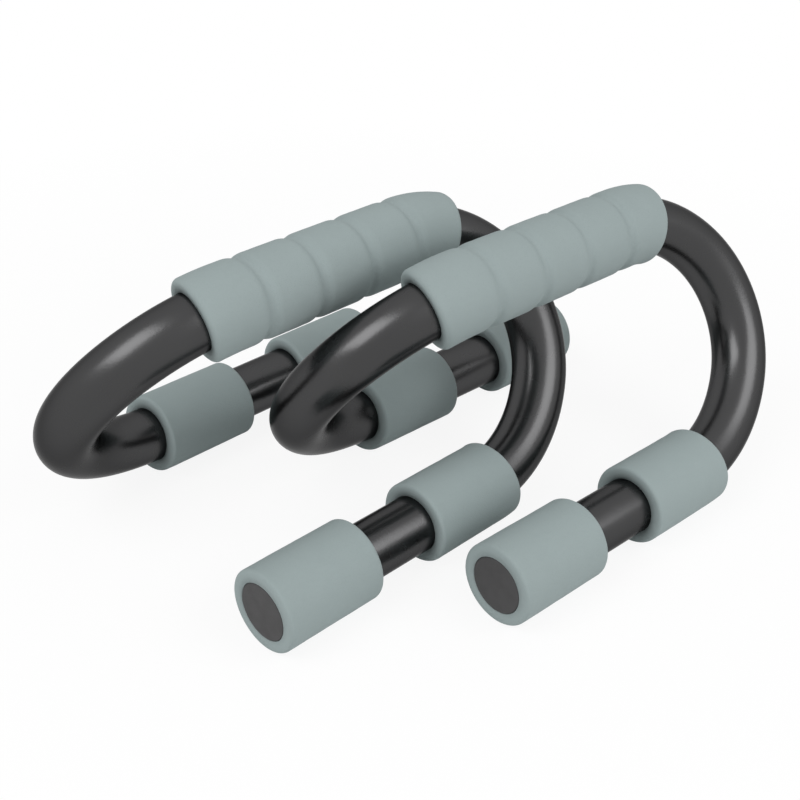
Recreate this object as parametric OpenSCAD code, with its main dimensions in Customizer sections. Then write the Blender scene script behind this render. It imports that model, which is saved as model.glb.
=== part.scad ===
// Pair of push-up bars, lying hooked into one another.
// Each bar is one bent steel tube: a straight handle, a leaning bend at each of its ends, and two
// floor legs that run back beside the handle, one on each side. The tube carries a lobed foam grip,
// two foam feet on each leg and a ribbed plug in each open end.
// Millimetres. +Z is up, the floor is z = 0, and the handles run along Y. The origin is on the
// floor in the middle of the pair.

/* [Tube] */
// Outside diameter of the steel tube
tube_d = 25; // [20:0.5:30]
// Wall thickness of the steel tube
tube_wall = 1.5; // [1:0.1:2.5]
// Straight length of the handle between its two bends
handle_straight = 94; // [80:1:140]
// Straight length of each leg, from its bend to its open end
leg_straight = 122.5; // [115:0.5:160]

/* [Bends] */
// Centre-line radius of the third of a bend that leaves the handle
shoulder_r = 58; // [50:1:75]
// Centre-line radius of the middle third of a bend
crown_r = 52; // [44:1:70]
// Centre-line radius of the third of a bend that meets the leg
ankle_r = 68; // [50:1:80]
// Lean of each bend out of the vertical, in degrees
bend_lean = 34; // [20:1:45]

/* [Foam grip] */
// Outside diameter of the grip over its lobes
grip_d = 36; // [32:0.5:42]
// Length of the grip along the tube
grip_len = 131; // [116:1:150]
// Length of each lobe between two finger grooves
lobe_len = 27; // [22:0.5:28]
// Number of finger grooves
groove_count = 4; // [2:1:4]
// Depth of a finger groove
groove_depth = 1.3; // [0.8:0.1:1.8]
// Radius of the round bottom of a finger groove
groove_trough_r = 2; // [1.5:0.1:3]
// Radius of the foam on each side of a finger groove
groove_lip_r = 2.5; // [2:0.1:3]
// Radius of the rounded rim at each end of the grip
grip_rim_r = 2; // [1:0.1:4]
// Distance of the grip's middle from the middle of the handle
grip_shift = 3; // [0:0.5:6]

/* [Foam feet] */
// Outside diameter of a foam foot
foot_d = 36; // [32:0.5:42]
// Length of a foam foot along the leg
foot_len = 48; // [35:1:52]
// Bare tube between the two feet of a leg
foot_gap = 34; // [20:1:42]
// Radius of the rounded rim at each end of a foot
foot_rim_r = 1.5; // [1:0.1:4]
// Depth of the flat that each foot presses onto the floor
rest_flat = 0.5; // [0.3:0.1:1]

/* [End plugs] */
// Thickness of the plug's face disc, which covers the edge of the tube
disc_t = 2; // [1.2:0.1:3]
// Chamfer round the edge of the face disc
disc_chamfer = 0.4; // [0.2:0.1:0.8]
// Length of the plug's hollow stem inside the tube
stem_len = 16; // [13:0.5:24]
// Wall thickness of the stem
stem_wall = 1.6; // [1:0.1:2]
// Height of each fin above the stem
fin_h = 1.4; // [0.6:0.1:2]
// Thickness of each fin where it meets the tube
fin_t = 1; // [0.6:0.1:1.4]
// Distance from one fin to the next
fin_pitch = 4; // [3:0.1:4]
// Number of fins on the stem
fin_count = 3; // [1:1:3]

/* [Fits] */
// Gap all round between the tube and the foam on it
foam_fit = 0.1; // [0.05:0.01:0.3]
// Gap all round between a plug's fins and the inside of the tube
plug_fit = 0.05; // [0.02:0.01:0.1]

/* [Pair] */
// Sideways distance from the middle of one bar to the middle of the other
pair_step_x = 53; // [50:0.5:60]
// Lengthwise distance from the middle of one bar to the middle of the other
pair_step_y = 81; // [60:0.5:84]
// Turn of the second bar out of line with the first, in degrees
second_turn = -2.3; // [-3:0.1:1]

/* [Hidden] */
$fn = 96;

steel = [0.20, 0.20, 0.21];
foam = [0.58, 0.64, 0.63];
plastic = [0.29, 0.28, 0.29];

tube_r = tube_d / 2;
bore_r = tube_r - tube_wall;
grip_r = grip_d / 2;
foot_r = foot_d / 2;
// How far a cut runs on past the face it opens, and how far an end cut clears everything away
overrun = 1;
clear_out = 2 * max(shoulder_r, ankle_r);
// Angle at which a rounded foam edge leaves the skin beside it
edge_break = 8;

// The centre line of half a bar, from the middle of the handle to the open end of a leg, lies in
// one leaning plane. It is written as [along, below]: along the handle, and down the plane.
// A bend is three arcs. They meet on spokes whose directions are sides of a 3-4-5 triangle.
reach = handle_straight / 2;
radii = [shoulder_r, crown_r, ankle_r];
spokes = [[0, -1], [0.8, -0.6], [0.8, 0.6], [0, 1]];
headings = [0, atan(4 / 3), 180 - atan(4 / 3), 180];

shoulder_start = [reach, 0];
crown_start = shoulder_start + shoulder_r * (spokes[1] - spokes[0]);
ankle_start = crown_start + crown_r * (spokes[2] - spokes[1]);
leg_start = ankle_start + ankle_r * (spokes[3] - spokes[2]);
starts = [shoulder_start, crown_start, ankle_start, leg_start];

function centre(k) = starts[k] - radii[k] * spokes[k];
function arc_length(k) = radii[k] * (headings[k + 1] - headings[k]) * PI / 180;

// Distance along the centre line at which each arc begins, the leg begins and the leg ends
s_shoulder = reach;
s_crown = s_shoulder + arc_length(0);
s_ankle = s_crown + arc_length(1);
s_leg = s_ankle + arc_length(2);
s_end = s_leg + leg_straight;
marks = [s_shoulder, s_crown, s_ankle, s_leg];

// Height of the handle's axis and sideways distance of a leg's axis from it
leg_z = foot_r - rest_flat;
handle_z = leg_z + leg_start[1] * cos(bend_lean);
leg_x = leg_start[1] * sin(bend_lean);

// Places of the feet along the centre line
end_foot_from = s_end - foot_len;
bend_foot_to = end_foot_from - foot_gap;
bend_foot_from = bend_foot_to - foot_len;

// Places of the grooves along the handle, spread evenly about the middle of the grip
grooves = [for (k = [0 : groove_count - 1]) grip_shift + (k - (groove_count - 1) / 2) * lobe_len];

// Half width and half length of a bar that is turned by an angle about its own middle. The widest
// point is on a foot, beside the bend or at the open end, and the farthest one is on a crown.
function half_width(turn) =
    let (c = centre(2))
    let (beside_bend = c[1] * sin(bend_lean) * cos(turn) - c[0] * sin(turn)
        + ankle_r * norm([sin(bend_lean) * cos(turn), sin(turn)]) + foot_r)
    let (open_end = leg_x * cos(turn) + (leg_straight - leg_start[0]) * sin(turn)
        + foot_r * cos(turn))
    turn < 0 ? beside_bend : open_end;
function half_length(turn) =
    let (c = centre(1))
    c[0] * cos(turn) + c[1] * sin(bend_lean) * sin(turn)
        + crown_r * norm([cos(turn), sin(bend_lean) * sin(turn)]) + tube_r;

// Middles of the two bars, set so that the box round the pair is centred on the origin
pair_shift_x = (half_width(0) - half_width(second_turn)) / 2;
pair_shift_y = (half_length(0) - half_length(second_turn)) / 2;
left_middle = [pair_shift_x - pair_step_x / 2, pair_shift_y - pair_step_y / 2, 0];
right_middle = [pair_shift_x + pair_step_x / 2, pair_shift_y + pair_step_y / 2, 0];

module left_bar() {
    translate(left_middle)
        children();
}

// The second bar is the same product turned half round, and a little further
module right_bar() {
    translate(right_middle)
        rotate([0, 0, 180 + second_turn])
            children();
}

// Puts drawings made in the flat plane of a half bar into that plane's leaning place. Leg a hangs
// from the bend at the +Y end of the handle, leg b from the one at the -Y end.
module leaning_plane(side) {
    translate([0, 0, handle_z])
        rotate([0, 0, side == "a" ? 0 : 180])
            rotate([0, -90 - bend_lean, 0])
                rotate([0, 0, 90])
                    children();
}

// Goes to a place on the centre line, with +Z along the line towards the leg's open end
function point_on(s) =
    s < marks[0] ? [s, 0]
    : s >= marks[3] ? leg_start - [s - marks[3], 0]
    : let (k = s < marks[1] ? 0 : s < marks[2] ? 1 : 2)
        centre(k) + radii[k] * [sin(heading_on(s)), -cos(heading_on(s))];
function heading_on(s) =
    s < marks[0] ? 0
    : s >= marks[3] ? 180
    : let (k = s < marks[1] ? 0 : s < marks[2] ? 1 : 2)
        headings[k] + (s - marks[k]) / radii[k] * 180 / PI;

module at_mark(side, s) {
    leaning_plane(side)
        translate(point_on(s))
            rotate([0, 0, heading_on(s)])
                rotate([0, 90, 0])
                    children();
}

// Round bar of radius r along the straight of the handle
module handle_bar(r) {
    leaning_plane("a")
        translate([-reach, 0])
            rotate([0, 90, 0])
                cylinder(r = r, h = handle_straight);
}

// Round bar of radius r along one arc of a bend: a slice of a ring, cut on the arc's two spokes
module arc_bar(side, k, r) {
    far = 2 * radii[k];
    leaning_plane(side)
        translate(centre(k))
            intersection() {
                rotate_extrude($fn = 180)
                    translate([radii[k], 0])
                        circle(r = r);
                translate([0, 0, -far])
                    linear_extrude(2 * far)
                        polygon([[0, 0], far * spokes[k], far * (spokes[k] + spokes[k + 1]),
                            far * spokes[k + 1]]);
            }
}

// Round bar of radius r along a leg, between two places on its straight
module leg_bar(side, from, to, r) {
    leaning_plane(side)
        translate(leg_start - [to - s_leg, 0])
            rotate([0, 90, 0])
                cylinder(r = r, h = to - from);
}

// Round bar of radius r along a whole bar, with both legs running to the same place
module whole_bar(to, r) {
    handle_bar(r);
    for (side = ["a", "b"]) {
        for (k = [0 : 2])
            arc_bar(side, k, r);
        leg_bar(side, s_leg, to, r);
    }
}

// How far a rounded edge reaches in from the skin, and from the end of the foam
function edge_inset(edge_r) = edge_r * cos(edge_break);

// Rounds foam of radius r along Z off from z = 0 on, and cuts it where the edge has gone round
module end_cutter(r, edge_r) {
    inset = edge_inset(edge_r);
    rotate_extrude()
        difference() {
            square(clear_out);
            translate([r - inset, 0])
                circle(r = edge_r);
            square([r - inset, inset]);
        }
}

// Ring that cuts a finger groove into foam of radius r along Z: a trough with a round bottom and
// rounded lips. The circle of the bottom crosses the circle of each lip at the same small angle.
module groove_cutter(r, lip_r, trough_r, depth) {
    inset = edge_inset(lip_r);
    apart = sqrt(lip_r * lip_r + trough_r * trough_r + 2 * lip_r * trough_r * cos(edge_break));
    rise = inset - depth + trough_r;
    half = sqrt(apart * apart - rise * rise);
    meet = rise * lip_r / (lip_r + trough_r);
    rotate_extrude() {
        difference() {
            translate([r - inset + meet, -half])
                square([inset - meet + overrun, 2 * half]);
            for (z = [-half, half])
                translate([r - inset, z])
                    circle(r = lip_r);
        }
        translate([r - depth + trough_r, 0])
            circle(r = trough_r);
    }
}

module bent_tube() {
    color(steel)
        difference() {
            whole_bar(s_end - disc_t, tube_r);
            whole_bar(s_end, bore_r);
        }
}

// Foam over the handle and the start of both bends, bored out by bars of another radius
module handle_and_shoulders(r) {
    handle_bar(r);
    arc_bar("a", 0, r);
    arc_bar("b", 0, r);
}

module grip() {
    color(foam)
        difference() {
            handle_and_shoulders(grip_r);
            handle_and_shoulders(tube_r + foam_fit);
            at_mark("a", grip_len / 2 + grip_shift - edge_inset(grip_rim_r))
                end_cutter(grip_r, grip_rim_r);
            at_mark("b", grip_len / 2 - grip_shift - edge_inset(grip_rim_r))
                end_cutter(grip_r, grip_rim_r);
            for (place = grooves)
                translate([0, place, handle_z])
                    rotate([-90, 0, 0])
                        groove_cutter(grip_r, groove_lip_r, groove_trough_r, groove_depth);
        }
}

// Foam foot between two places on a leg, pressed flat where it meets the floor
module foot(side, from, to) {
    straight_from = max(from - overrun, s_leg);
    color(foam)
        difference() {
            union() {
                leg_bar(side, straight_from, to + overrun, foot_r);
                if (from < s_leg)
                    arc_bar(side, 2, foot_r);
            }
            leg_bar(side, straight_from, to + overrun, tube_r + foam_fit);
            if (from < s_leg)
                arc_bar(side, 2, tube_r + foam_fit);
            at_mark(side, from + edge_inset(foot_rim_r))
                mirror([0, 0, 1])
                    end_cutter(foot_r, foot_rim_r);
            at_mark(side, to - edge_inset(foot_rim_r))
                end_cutter(foot_r, foot_rim_r);
            translate([-clear_out, -clear_out, -foot_d])
                cube([2 * clear_out, 2 * clear_out, foot_d]);
        }
}

module bend_foot(side) {
    foot(side, bend_foot_from, bend_foot_to);
}

module end_foot(side) {
    foot(side, end_foot_from, s_end);
}

// Cup with a face disc as wide as the tube and a finned stem that is pushed into it
module plug(side) {
    fin_r = bore_r - plug_fit;
    stem_r = fin_r - fin_h;
    color(plastic)
        at_mark(side, s_end)
            mirror([0, 0, 1])
                difference() {
                    rotate_extrude()
                        polygon([
                            [0, 0],
                            [tube_r - disc_chamfer, 0],
                            [tube_r, disc_chamfer],
                            [tube_r, disc_t],
                            [stem_r, disc_t],
                            for (k = [1 : fin_count]) each [
                                [stem_r, disc_t + k * fin_pitch - fin_t],
                                [fin_r, disc_t + k * fin_pitch - fin_t],
                                [fin_r, disc_t + k * fin_pitch],
                                [stem_r, disc_t + k * fin_pitch + fin_h / 2],
                            ],
                            [stem_r, disc_t + stem_len],
                            [0, disc_t + stem_len],
                        ]);
                    translate([0, 0, disc_t])
                        cylinder(r = stem_r - stem_wall, h = stem_len + overrun);
                }
}

left_bar() bent_tube();  // left_tube
left_bar() grip();  // left_grip
left_bar() bend_foot("a");  // left_leg_a_bend_foot
left_bar() end_foot("a");  // left_leg_a_end_foot
left_bar() plug("a");  // left_leg_a_plug
left_bar() bend_foot("b");  // left_leg_b_bend_foot
left_bar() end_foot("b");  // left_leg_b_end_foot
left_bar() plug("b");  // left_leg_b_plug
right_bar() bent_tube();  // right_tube
right_bar() grip();  // right_grip
right_bar() bend_foot("a");  // right_leg_a_bend_foot
right_bar() end_foot("a");  // right_leg_a_end_foot
right_bar() plug("a");  // right_leg_a_plug
right_bar() bend_foot("b");  // right_leg_b_bend_foot
right_bar() end_foot("b");  // right_leg_b_end_foot
right_bar() plug("b");  // right_leg_b_plug
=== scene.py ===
# Pair of push-up bars, hooked into one another as they lie in the photograph. Metres.
from math import atan2, cos, pi, radians, sin, sqrt

import bmesh
import bpy
from mathutils import Matrix, Vector, noise


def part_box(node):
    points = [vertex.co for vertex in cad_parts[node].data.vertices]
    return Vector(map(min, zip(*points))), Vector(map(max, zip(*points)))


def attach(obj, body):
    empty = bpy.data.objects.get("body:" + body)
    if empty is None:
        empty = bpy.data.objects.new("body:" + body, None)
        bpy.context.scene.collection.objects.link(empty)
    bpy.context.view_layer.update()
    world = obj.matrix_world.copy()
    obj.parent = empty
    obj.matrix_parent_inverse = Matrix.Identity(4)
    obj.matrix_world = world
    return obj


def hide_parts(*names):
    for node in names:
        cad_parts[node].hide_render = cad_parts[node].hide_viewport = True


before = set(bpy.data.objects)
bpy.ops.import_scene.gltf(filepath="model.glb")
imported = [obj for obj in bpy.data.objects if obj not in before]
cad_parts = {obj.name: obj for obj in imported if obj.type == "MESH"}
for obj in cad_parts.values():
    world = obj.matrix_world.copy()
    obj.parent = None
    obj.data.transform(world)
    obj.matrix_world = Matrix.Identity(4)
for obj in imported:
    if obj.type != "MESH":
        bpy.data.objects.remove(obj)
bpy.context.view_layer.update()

# The bent tubes. Each bar is one length of round steel tube with a glossy charcoal coat, bent at
# both ends of the handle into a leaning loop of three arcs, whose legs run back along the floor.
# The tube is made as straight hollow stock along Y and then bent, as the real one is.
tube_radius = 0.0125
tube_wall = 0.0015
tube_sides = 72
tube_lengths = 280
handle_half = 0.047
corner = atan2(4, 3)
bend_radii = (0.058, 0.052, 0.068)
bend_turns = (corner, pi - 2 * corner, corner)
leg_straight = 0.1225
lean = radians(34)
leg_height = 0.0175
plug_disc = 0.002
second_turn = radians(2.3)
bar_turns = {"left": 0.0, "right": pi - second_turn}

bend_length = sum(radius * turn for radius, turn in zip(bend_radii, bend_turns))
stock_half = handle_half + bend_length + leg_straight
tube_half = stock_half - plug_disc

shortest_length = 0.0035
mottle_span = (0.3, 0.7)
grain_height = 0.001


def follow_bends(run):
    """How far along and below the handle's middle the centre line is after a run, and its heading."""
    along, below, heading = min(run, handle_half), 0.0, 0.0
    rest = run - along
    for radius, turn in zip(bend_radii, bend_turns):
        step = min(rest / radius, turn)
        along += radius * (sin(heading + step) - sin(heading))
        below += radius * (cos(heading) - cos(heading + step))
        heading += step
        rest -= radius * step
    return along - max(rest, 0.0), below, heading


handle_height = leg_height + follow_bends(stock_half)[1] * cos(lean)


def bend_stock(bm):
    """Bends straight stock along Y: +Y becomes leg a, -Y leg b."""
    for v in bm.verts:
        side = 1 if v.co.y >= 0 else -1
        along, below, heading = follow_bends(abs(v.co.y))
        outward = Vector((0, side, 0))
        downward = Vector((side * sin(lean), 0, -cos(lean)))
        turn = Matrix.Rotation(heading, 3, outward.cross(downward))
        centre = along * outward + below * downward + Vector((0, 0, handle_height))
        v.co = centre + turn @ Vector((v.co.x, 0, v.co.z))


def hollow_stock(start, end, outer, inner, sides):
    """Straight hollow stock along Y, closed at both ends by its wall."""
    bm = bmesh.new()
    standing = Matrix.Translation((0, start, 0)) @ Matrix.Rotation(radians(90), 4, "X")
    for radius in (outer, inner):
        bmesh.ops.create_circle(bm, segments=sides, radius=radius, matrix=standing)
    wall = bmesh.ops.bridge_loops(bm, edges=bm.edges[:])["faces"]
    far = bmesh.ops.extrude_face_region(bm, geom=wall)["geom"]
    far_verts = [g for g in far if isinstance(g, bmesh.types.BMVert)]
    bmesh.ops.translate(bm, verts=far_verts, vec=(0, end - start, 0))
    return bm


def lengthwise(bm):
    """The edges that run along the stock, all longer than a step round a rim."""
    return [e for e in bm.edges if abs(e.verts[0].co.y - e.verts[1].co.y) > shortest_length]


def cut_lengths(bm, cuts):
    """Cuts stock across, so that it can bend."""
    bmesh.ops.subdivide_edges(bm, edges=lengthwise(bm), cuts=cuts)


def lay_in_pair(bm, bar):
    """Moves a bent piece from the bar's own middle to its place in the pair."""
    low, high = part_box(bar + "_tube")
    middle = Vector(((low[0] + high[0]) / 2, (low[1] + high[1]) / 2, 0))
    place = Matrix.Translation(middle) @ Matrix.Rotation(bar_turns[bar], 4, "Z")
    bmesh.ops.transform(bm, matrix=place, verts=bm.verts)


def add_object(name, data):
    """Puts a mesh, a lamp or the camera in the scene."""
    new = bpy.data.objects.new(name, data)
    bpy.context.scene.collection.objects.link(new)
    return new


def finish_piece(bm, name, node, material):
    """Turns a bmesh into a smooth piece that stands for a CAD node."""
    bmesh.ops.recalc_face_normals(bm, faces=bm.faces)
    for f in bm.faces:
        f.smooth = True
    mesh = bpy.data.meshes.new(name)
    bm.to_mesh(mesh)
    bm.free()
    mesh.materials.append(material)
    piece = add_object(name, mesh)
    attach(piece, "root")
    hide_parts(node)
    return piece


def new_group(name, inputs, outputs):
    """A shader node group with its sockets, and its input and output nodes."""
    group = bpy.data.node_groups.new(name, "ShaderNodeTree")
    for socket, kind in inputs.items():
        group.interface.new_socket(socket, in_out="INPUT", socket_type="NodeSocket" + kind)
    for socket, kind in outputs.items():
        group.interface.new_socket(socket, in_out="OUTPUT", socket_type="NodeSocket" + kind)
    return group, group.nodes.new("NodeGroupInput"), group.nodes.new("NodeGroupOutput")


def make_surface_group():
    """Mottled tone and fine grain: a colour between two tones, a roughness and a normal."""
    inputs = {
        "Place": "Vector", "Tone": "Color", "Second Tone": "Color",
        "Mottle Scale": "Float", "Grain Scale": "Float", "Grain Depth": "Float",
        "Low Roughness": "Float", "High Roughness": "Float",
    }
    outputs = {"Color": "Color", "Roughness": "Float", "Normal": "Vector"}
    group, given, out = new_group("mottled grain", inputs, outputs)
    nodes, link = group.nodes, group.links.new
    mottle, grain = nodes.new("ShaderNodeTexNoise"), nodes.new("ShaderNodeTexNoise")
    for cloud, scale, detail in ((mottle, "Mottle Scale", 3.0), (grain, "Grain Scale", 2.0)):
        link(given.outputs["Place"], cloud.inputs["Vector"])
        link(given.outputs[scale], cloud.inputs["Scale"])
        cloud.inputs["Detail"].default_value = detail
    tones = nodes.new("ShaderNodeMix")
    tones.data_type = "RGBA"
    link(mottle.outputs["Fac"], tones.inputs["Factor"])
    link(given.outputs["Tone"], tones.inputs["A"])
    link(given.outputs["Second Tone"], tones.inputs["B"])
    link(tones.outputs["Result"], out.inputs["Color"])
    gloss = nodes.new("ShaderNodeMapRange")
    link(mottle.outputs["Fac"], gloss.inputs["Value"])
    gloss.inputs["From Min"].default_value = mottle_span[0]
    gloss.inputs["From Max"].default_value = mottle_span[1]
    link(given.outputs["Low Roughness"], gloss.inputs["To Min"])
    link(given.outputs["High Roughness"], gloss.inputs["To Max"])
    link(gloss.outputs["Result"], out.inputs["Roughness"])
    bump = nodes.new("ShaderNodeBump")
    bump.inputs["Distance"].default_value = grain_height
    link(given.outputs["Grain Depth"], bump.inputs["Strength"])
    link(grain.outputs["Fac"], bump.inputs["Height"])
    link(bump.outputs["Normal"], out.inputs["Normal"])
    return group


def dress_material(name, group, **values):
    """A material whose Principled shader takes what a group puts out, over the object's own place."""
    material = bpy.data.materials.new(name)
    material.use_nodes = True
    nodes, link = material.node_tree.nodes, material.node_tree.links.new
    shader = nodes["Principled BSDF"]
    place = nodes.new("ShaderNodeTexCoord")
    dressing = nodes.new("ShaderNodeGroup")
    dressing.node_tree = group
    link(place.outputs["Object"], dressing.inputs["Place"])
    for socket, value in values.items():
        dressing.inputs[socket.replace("_", " ")].default_value = value
    link(dressing.outputs["Color"], shader.inputs["Base Color"])
    link(dressing.outputs["Normal"], shader.inputs["Normal"])
    if "Roughness" in dressing.outputs:
        link(dressing.outputs["Roughness"], shader.inputs["Roughness"])
    return material, shader


# A dark metallic lacquer, with the faint orange peel of sprayed and baked paint.
surface_group = make_surface_group()
charcoal_coat, coat_shader = dress_material(
    "charcoal coat", surface_group,
    Tone=(0.062, 0.062, 0.063, 1), Second_Tone=(0.069, 0.069, 0.070, 1),
    Mottle_Scale=35.0, Grain_Scale=900.0, Grain_Depth=0.03,
    Low_Roughness=0.24, High_Roughness=0.30,
)
coat_shader.inputs["Metallic"].default_value = 1.0
coat_shader.inputs["Specular Tint"].default_value = (0.45, 0.45, 0.45, 1)

for bar in bar_turns:
    stock = hollow_stock(-tube_half, tube_half, tube_radius, tube_radius - tube_wall, tube_sides)
    cut_lengths(stock, tube_lengths - 1)
    bend_stock(stock)
    lay_in_pair(stock, bar)
    finish_piece(stock, bar + "_bent_tube", bar + "_tube", charcoal_coat)

# The foam grips. One sleeve of grey-green closed-cell foam is stretched over each handle and on to
# the start of both bends. Four round-bottomed finger grooves part it into five lobes, and both its
# rims are rounded. Its skin is matt, with fine pores.
foam_radius = 0.018
foam_fit = 0.0001
foam_sides = 96
rim_steps = 8
grip_rim = 0.002
grip_length = 0.131
grip_cuts = 100
grip_shift = 0.003
groove_spacing = 0.027
groove_count = 4
groove_depth = 0.0013
groove_lip = 0.006
groove_trough = 0.004
groove_cuts = 16
cut_reach = 0.00001
skin_reach = 0.0005
skin_wave = 0.00006
broad_wave = 140
close_wave = 420
close_share = 0.5

foam_bore = tube_radius + foam_fit
groove_arms = groove_lip + groove_trough
groove_half = sqrt(groove_arms**2 - (groove_arms - groove_depth) ** 2)
first_groove = grip_shift - (groove_count - 1) / 2 * groove_spacing
grip_grooves = [first_groove + k * groove_spacing for k in range(groove_count)]


def foam_sleeve(start, end, rim, cuts, grooves=()):
    """Hollow foam stock with rounded rims and finger grooves, its skin a little uneven."""
    bm = hollow_stock(start, end, foam_radius, foam_bore, foam_sides)
    along = set(lengthwise(bm))
    rims = [e for e in bm.edges if e not in along and all(on_skin(v) for v in e.verts)]
    bmesh.ops.bevel(
        bm, geom=rims, offset=rim, segments=rim_steps, profile=0.5, affect="EDGES", material=-1
    )
    cut_lengths(bm, cuts)
    for groove in grooves:
        for cut in range(groove_cuts + 1):
            place = groove + groove_half * (2 * cut / groove_cuts - 1)
            everything = bm.verts[:] + bm.edges[:] + bm.faces[:]
            bmesh.ops.bisect_plane(
                bm, geom=everything, dist=cut_reach, plane_co=(0, place, 0), plane_no=(0, 1, 0)
            )
    for v in filter(on_skin, bm.verts):
        sink = sum(groove_sink(v.co.y - groove) for groove in grooves)
        wave = noise.noise(v.co * broad_wave) + close_share * noise.noise(v.co * close_wave)
        scale = 1 + (skin_wave * wave - skin_wave - sink) / radial(v)
        v.co.x *= scale
        v.co.z *= scale
    return bm


def radial(v):
    """How far a vertex of straight stock lies from its centre line."""
    return sqrt(v.co.x**2 + v.co.z**2)


def on_skin(v):
    """Whether a vertex of a straight sleeve lies outside its bore."""
    return radial(v) > foam_bore + skin_reach


def groove_sink(offset):
    """How far the skin lies below its own level at an offset from a groove's middle."""
    offset = abs(offset)
    if offset >= groove_half:
        return 0.0
    if offset * groove_arms > groove_half * groove_trough:
        return groove_lip - sqrt(groove_lip**2 - (groove_half - offset) ** 2)
    return groove_depth - groove_trough + sqrt(groove_trough**2 - offset**2)


def make_pore_group():
    """Closed-cell foam: small pits between cells, in a soft uneven tone, with painted shade darkening
    the pits.
    """
    cloud_scale = 90.0
    cloud_share = 0.5
    pit_share = 0.5
    pit_edge = (0.05, 0.4)
    pit_bump = 0.0002
    inputs = {
        "Place": "Vector", "Tone": "Color", "Pore Tone": "Color",
        "Cell Scale": "Float", "Pore Depth": "Float",
    }
    group, given, out = new_group("foam pores", inputs, {"Color": "Color", "Normal": "Vector"})
    nodes, link = group.nodes, group.links.new
    cells, cloud = nodes.new("ShaderNodeTexVoronoi"), nodes.new("ShaderNodeTexNoise")
    link(given.outputs["Place"], cells.inputs["Vector"])
    link(given.outputs["Cell Scale"], cells.inputs["Scale"])
    link(given.outputs["Place"], cloud.inputs["Vector"])
    cloud.inputs["Scale"].default_value = cloud_scale
    cloud.inputs["Detail"].default_value = 4.0
    pits = nodes.new("ShaderNodeMapRange")
    link(cells.outputs["Distance"], pits.inputs["Value"])
    pits.inputs["From Min"].default_value = pit_edge[0]
    pits.inputs["From Max"].default_value = pit_edge[1]
    depth = nodes.new("ShaderNodeMath")
    depth.operation = "MULTIPLY"
    link(pits.outputs["Result"], depth.inputs[0])
    depth.inputs[1].default_value = pit_share
    # The tone mixes a random cloud with painted shade, which darkens the pits where the bump sinks.
    shade = nodes.new("ShaderNodeMath")
    shade.operation = "MULTIPLY_ADD"
    link(cloud.outputs["Fac"], shade.inputs[0])
    shade.inputs[1].default_value = cloud_share
    link(depth.outputs["Value"], shade.inputs[2])
    tones = nodes.new("ShaderNodeMix")
    tones.data_type = "RGBA"
    link(shade.outputs["Value"], tones.inputs["Factor"])
    link(given.outputs["Pore Tone"], tones.inputs["A"])
    link(given.outputs["Tone"], tones.inputs["B"])
    link(tones.outputs["Result"], out.inputs["Color"])
    bump = nodes.new("ShaderNodeBump")
    bump.inputs["Distance"].default_value = pit_bump
    link(given.outputs["Pore Depth"], bump.inputs["Strength"])
    link(pits.outputs["Result"], bump.inputs["Height"])
    link(bump.outputs["Normal"], out.inputs["Normal"])
    return group


pore_group = make_pore_group()


def foam_skin(name, tone, pit_shade_tone):
    """Matt foam skin, with painted shade darkening its pits."""
    material, shader = dress_material(
        name, pore_group, Tone=tone, Pore_Tone=pit_shade_tone, Cell_Scale=1600.0, Pore_Depth=0.35
    )
    shader.inputs["Roughness"].default_value = 0.85
    shader.inputs["Specular IOR Level"].default_value = 0.2
    return material


# The grips and the feet have one foam. The grip's copy is painted a little darker than the feet's, to
# take off the stronger lamp light on the tops of the grips.
grip_foam_painted_darker = foam_skin("grip foam painted darker", (0.290, 0.343, 0.343, 1), (0.262, 0.312, 0.312, 1))
for bar in bar_turns:
    sleeve = foam_sleeve(
        grip_shift - grip_length / 2, grip_shift + grip_length / 2, grip_rim, grip_cuts, grip_grooves
    )
    bend_stock(sleeve)
    lay_in_pair(sleeve, bar)
    grip = finish_piece(sleeve, bar + "_foam_grip", bar + "_grip", grip_foam_painted_darker)

# The foam feet. Each leg carries two short sleeves of the same foam, one beside the bend and one
# flush with the open end. The bar's weight presses each a little flat where it meets the floor.
foot_length = 0.048
foot_gap = 0.034
foot_rim = 0.0015
foot_cuts = 36
foot_ends = {"end_foot": stock_half, "bend_foot": stock_half - foot_length - foot_gap}

# The feet's copy of the foam is painted a little lighter than the grip's, for the weaker light they
# get down by the floor.
foot_foam_painted_lighter = foam_skin("foot foam painted lighter", (0.296, 0.351, 0.351, 1), (0.268, 0.320, 0.320, 1))
for bar in bar_turns:
    for leg, side in (("a", 1), ("b", -1)):
        for place, end in foot_ends.items():
            start, end = sorted((side * (end - foot_length), side * end))
            sleeve = foam_sleeve(start, end, foot_rim, foot_cuts)
            bend_stock(sleeve)
            for v in sleeve.verts:
                v.co.z = max(v.co.z, 0.0)
            lay_in_pair(sleeve, bar)
            node = f"{bar}_leg_{leg}_{place}"
            foot = finish_piece(sleeve, node + "_foam", node, foot_foam_painted_lighter)

# The end plugs. Moulded dark grey plastic with a fine grain, hardly glossy. A finned stem is pushed
# into each open end, and only the flat disc shows, as wide as the tube and flush with the foam.
# The CAD solids stay as they are.
plug_plastic, plug_shader = dress_material(
    "plug plastic", surface_group,
    Tone=(0.048, 0.047, 0.048, 1), Second_Tone=(0.042, 0.041, 0.042, 1),
    Mottle_Scale=160.0, Grain_Scale=2600.0, Grain_Depth=0.08,
    Low_Roughness=0.5, High_Roughness=0.6,
)
plug_shader.inputs["Specular IOR Level"].default_value = 0.3

for bar in bar_turns:
    for leg in ("a", "b"):
        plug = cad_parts[f"{bar}_leg_{leg}_plug"]
        plug.data.materials.clear()
        plug.data.materials.append(plug_plastic)

# The camera, at the photograph's viewing angle: in front of the bars, to their right and above,
# with the small roll that the photograph has.
camera_place = (0.32843, -0.35639, 0.35890)
camera_azimuth = radians(43.993)
camera_elevation = radians(33.066)
camera_roll = radians(2.801)
camera_lens = 58.506
camera_sensor = 36
camera_clip = 0.01

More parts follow.
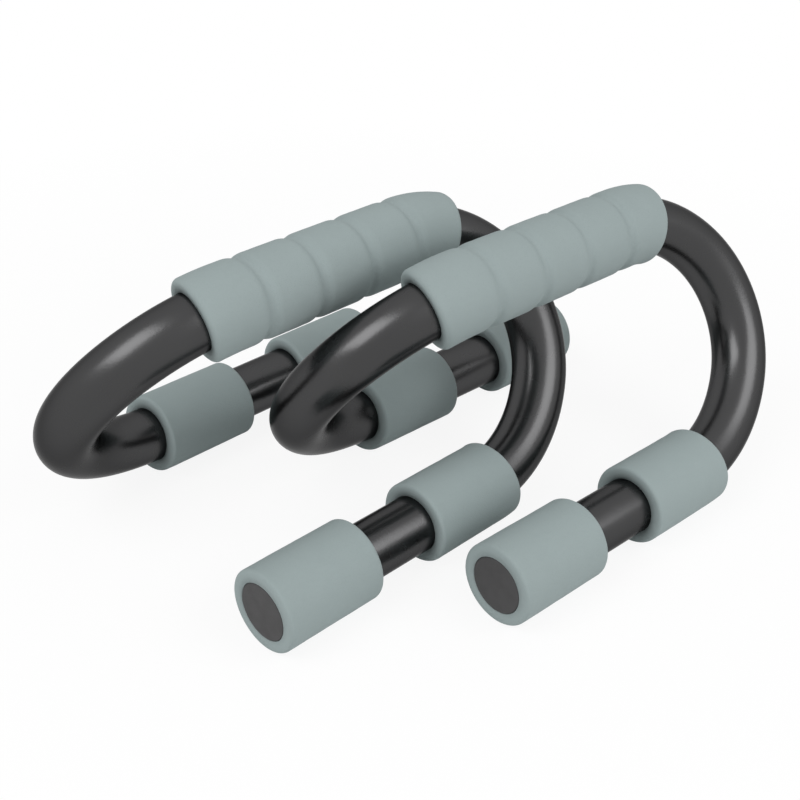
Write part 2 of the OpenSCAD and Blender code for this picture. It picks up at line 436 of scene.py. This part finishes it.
camera = add_object("camera", bpy.data.cameras.new("camera"))
camera.data.sensor_width = camera_sensor
camera.data.lens = camera_lens
camera.data.clip_start = camera_clip
camera.matrix_world = (
    Matrix.Translation(camera_place)
    @ Matrix.Rotation(camera_azimuth, 4, "Z")
    @ Matrix.Rotation(pi / 2 - camera_elevation, 4, "X")
    @ Matrix.Rotation(camera_roll, 4, "Z")
)
bpy.context.scene.camera = camera

# The studio. A plain white floor lies under a white sky. To the eye the floor is nearly all white
# by itself near the bars, where the rest of it takes their shadow, and all white farther off.
floor_half = 4.0
floor_tone = (0.9, 0.9, 0.9, 1)
shadow_reach = (0.22, 0.45)
whiteness_near = 0.89
sky_strength = 0.56
white = (1, 1, 1, 1)

floor_bm = bmesh.new()
bmesh.ops.create_grid(floor_bm, x_segments=1, y_segments=1, size=floor_half)
floor_mesh = bpy.data.meshes.new("floor")
floor_bm.to_mesh(floor_mesh)
floor_bm.free()
floor = add_object("floor", floor_mesh)


def seen_directly(tree):
    """1 for camera, glossy and transmission rays, 0 for the rays that light the object."""
    path = tree.nodes.new("ShaderNodeLightPath")
    total = path.outputs["Is Camera Ray"]
    for ray in ("Is Glossy Ray", "Is Transmission Ray"):
        either = tree.nodes.new("ShaderNodeMath")
        either.operation = "MAXIMUM"
        tree.links.new(total, either.inputs[0])
        tree.links.new(path.outputs[ray], either.inputs[1])
        total = either.outputs["Value"]
    return total


def white_floor():
    """White floor that glows white to the eye, and keeps a faint shadow round the object."""
    material = bpy.data.materials.new("white floor")
    material.use_nodes = True
    tree = material.node_tree
    nodes, link = tree.nodes, tree.links.new
    nodes.remove(nodes["Principled BSDF"])
    paint = nodes.new("ShaderNodeBsdfDiffuse")
    paint.inputs["Color"].default_value = floor_tone
    glow = nodes.new("ShaderNodeEmission")
    glow.inputs["Color"].default_value = white
    place = nodes.new("ShaderNodeTexCoord")
    distance = nodes.new("ShaderNodeVectorMath")
    distance.operation = "LENGTH"
    link(place.outputs["Object"], distance.inputs[0])
    whiteness = nodes.new("ShaderNodeMapRange")
    link(distance.outputs["Value"], whiteness.inputs["Value"])
    whiteness.inputs["From Min"].default_value = shadow_reach[0]
    whiteness.inputs["From Max"].default_value = shadow_reach[1]
    whiteness.inputs["To Min"].default_value = whiteness_near
    share = nodes.new("ShaderNodeMath")
    share.operation = "MULTIPLY"
    link(seen_directly(tree), share.inputs[0])
    link(whiteness.outputs["Result"], share.inputs[1])
    mix = nodes.new("ShaderNodeMixShader")
    link(share.outputs["Value"], mix.inputs["Fac"])
    link(paint.outputs["BSDF"], mix.inputs[1])
    link(glow.outputs["Emission"], mix.inputs[2])
    link(mix.outputs["Shader"], nodes["Material Output"].inputs["Surface"])
    return material


floor_mesh.materials.append(white_floor())

world = bpy.data.worlds.new("white sky")
world.use_nodes = True
bpy.context.scene.world = world
sky = world.node_tree.nodes["Background"]
sky.inputs["Color"].default_value = white
sky_level = world.node_tree.nodes.new("ShaderNodeMapRange")
world.node_tree.links.new(seen_directly(world.node_tree), sky_level.inputs["Value"])
sky_level.inputs["To Min"].default_value = sky_strength
world.node_tree.links.new(sky_level.outputs["Result"], sky.inputs["Strength"])

# The lamps. Two square soft boxes, one before the bars and one beside them, as the two bright bands
# along the photographed tubes show.
lamp_side = 0.80
lamp_aim = Vector((0, 0, 0.06))
lamps = (
    ("front lamp", (-0.08, -0.92, 1.02), 7.6),
    ("side lamp", (0.96, 0.40, 0.90), 6.7),
)

for name, place, watts in lamps:
    lamp = bpy.data.lights.new(name, "AREA")
    lamp.shape = "SQUARE"
    lamp.size = lamp_side
    lamp.energy = watts
    towards = (lamp_aim - Vector(place)).to_track_quat("-Z", "Y")
    add_object(name, lamp).matrix_world = Matrix.Translation(place) @ towards.to_matrix().to_4x4()

bpy.context.scene.view_settings.view_transform = "Standard"
